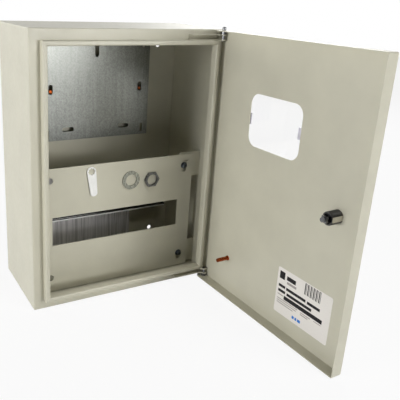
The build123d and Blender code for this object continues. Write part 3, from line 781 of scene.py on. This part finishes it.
def ray_seen(tree):
    """1 for rays from the camera, a mirror or a clear piece, otherwise 0."""
    path = tree.nodes.new("ShaderNodeLightPath")
    seen = arithmetic(tree, "MAXIMUM", path.outputs["Is Camera Ray"], path.outputs["Is Glossy Ray"])
    return arithmetic(tree, "MAXIMUM", seen, path.outputs["Is Transmission Ray"])


def backdrop_strength(tree, fill):
    """White where the camera or a clear piece sees it; for gloss and light, bright behind and dim in front."""
    place = tree.nodes.new("ShaderNodeTexCoord")
    parts = tree.nodes.new("ShaderNodeSeparateXYZ")
    tree.links.new(place.outputs["Generated"], parts.inputs["Vector"])
    behind = ranged(tree, parts.outputs["Y"], 0.12, 1.0, 0.0, 0.6)
    path = tree.nodes.new("ShaderNodeLightPath")
    level = ranged(tree, path.outputs["Is Glossy Ray"], fill, 1.0, 0.0, 1.0)
    share = arithmetic(tree, "MULTIPLY", behind, level)
    seen = arithmetic(tree, "MAXIMUM", path.outputs["Is Camera Ray"], path.outputs["Is Transmission Ray"])
    return arithmetic(tree, "MAXIMUM", seen, share)


# Each lamp has its name, its place and diameter in metres, and its power in watts.
LAMPS = (
    ("lamp_left_rear", (-1.938, -0.031, 0.409), 0.5, 12.0),
    ("lamp_left", (-1.900, -0.444, 0.478), 0.5, 11.5),
    ("lamp_front", (0.529, -2.022, 0.478), 0.5, 8.3),
    ("lamp_right", (0.730, -1.969, 0.409), 0.5, 9.2),
    ("lamp_top", (-0.097, -0.932, 2.013), 0.5, 4.4),
    ("lamp_top_right", (0.550, -0.966, 1.932), 0.5, 9.5),
    ("lamp_rear_left", (-0.890, 1.528, 0.884), 1.0, 5.5),
    ("lamp_rear_right", (1.275, 1.125, 1.200), 1.2, 14.0),
)
LAMP_AIM = (0.05, -0.10, 0.20)
CAMERA_PLACE = (-0.35877, -0.76058, 0.44674)
CAMERA_TURN = (71.6304, -2.3315, -27.9369)
SENSOR_WIDTH = 36
NEAREST_SEEN = 0.01
FLOOR_REACH = 4


class ENCLOSURE_OT_stage(bpy.types.Operator):
    """Set the floor, the surroundings, the lamps and the camera"""

    bl_idname = "enclosure.stage"
    bl_label = "Set the stage"

    def execute(self, context):
        scene, stage = context.scene, context.scene.enclosure_stage
        corners = FLOOR_REACH * np.array([[-1, -1, 0], [1, -1, 0], [1, 1, 0], [-1, 1, 0]], float)
        mesh = bpy.data.meshes.new("studio_floor")
        mesh.from_pydata(corners.tolist(), [], [(0, 1, 2, 3)])
        mesh.materials.append(studio_ground(scene.enclosure_colours.floor, stage.floor_white))
        floor = bpy.data.objects.new("studio_floor", mesh)
        scene.collection.objects.link(floor)

        world = bpy.data.worlds.new("studio_surroundings")
        scene.world = world
        world.use_nodes = True
        tree = world.node_tree
        ground = tree.nodes["Background"]
        ground.inputs["Color"].default_value = (1, 1, 1, 1)
        tree.links.new(backdrop_strength(tree, stage.fill), ground.inputs["Strength"])

        for name, place, size, power in LAMPS:
            light = bpy.data.lights.new(name, "AREA")
            light.shape = "DISK"
            light.size = size
            light.energy = power * stage.lamps
            lamp = bpy.data.objects.new(name, light)
            scene.collection.objects.link(lamp)
            lamp.location = place
            aim = Vector(LAMP_AIM) - lamp.location
            lamp.rotation_euler = aim.to_track_quat("-Z", "Y").to_euler()

        lens = bpy.data.cameras.new("studio_camera")
        lens.lens = stage.focal_length
        lens.sensor_width = SENSOR_WIDTH
        lens.shift_x, lens.shift_y = stage.shift
        lens.clip_start = NEAREST_SEEN
        camera = bpy.data.objects.new("studio_camera", lens)
        scene.collection.objects.link(camera)
        camera.location = CAMERA_PLACE
        camera.rotation_euler = Euler([math.radians(angle) for angle in CAMERA_TURN])
        scene.camera = camera
        scene.view_settings.view_transform = "Standard"
        return {"FINISHED"}


STEPS = (
    ENCLOSURE_OT_coat_sheets,
    ENCLOSURE_OT_weld_beads,
    ENCLOSURE_OT_zinc_plates,
    ENCLOSURE_OT_fasteners,
    ENCLOSURE_OT_lock,
    ENCLOSURE_OT_studs,
    ENCLOSURE_OT_window,
    ENCLOSURE_OT_label,
    ENCLOSURE_OT_stage,
)


class ENCLOSURE_PT_steps(bpy.types.Panel):
    """Lists the steps that finish the enclosure"""

    bl_idname = "ENCLOSURE_PT_steps"
    bl_label = "Meter enclosure"
    bl_space_type = "VIEW_3D"
    bl_region_type = "UI"
    bl_category = "Enclosure"

    def draw(self, context):
        for step in STEPS:
            self.layout.operator(step.bl_idname)


GROUPS = {
    "enclosure_colours": EnclosureColours,
    "enclosure_sizes": EnclosureSizes,
    "enclosure_stage": EnclosureStage,
}


def register():
    """Registers the settings, the steps and the panel."""
    for name, group in GROUPS.items():
        bpy.utils.register_class(group)
        setattr(bpy.types.Scene, name, bpy.props.PointerProperty(type=group))
    for step in (*STEPS, ENCLOSURE_PT_steps):
        bpy.utils.register_class(step)


def unregister():
    """Takes the panel, the steps and the settings out again."""
    for step in (ENCLOSURE_PT_steps, *reversed(STEPS)):
        bpy.utils.unregister_class(step)
    for name, group in GROUPS.items():
        delattr(bpy.types.Scene, name)
        bpy.utils.unregister_class(group)


def main():
    """Runs every step in order."""
    register()
    bpy.ops.enclosure.coat_sheets()
    bpy.ops.enclosure.weld_beads()
    bpy.ops.enclosure.zinc_plates()
    bpy.ops.enclosure.fasteners()
    bpy.ops.enclosure.lock()
    bpy.ops.enclosure.studs()
    bpy.ops.enclosure.window()
    bpy.ops.enclosure.label()
    bpy.ops.enclosure.stage()


if __name__ == "__main__":
    main()
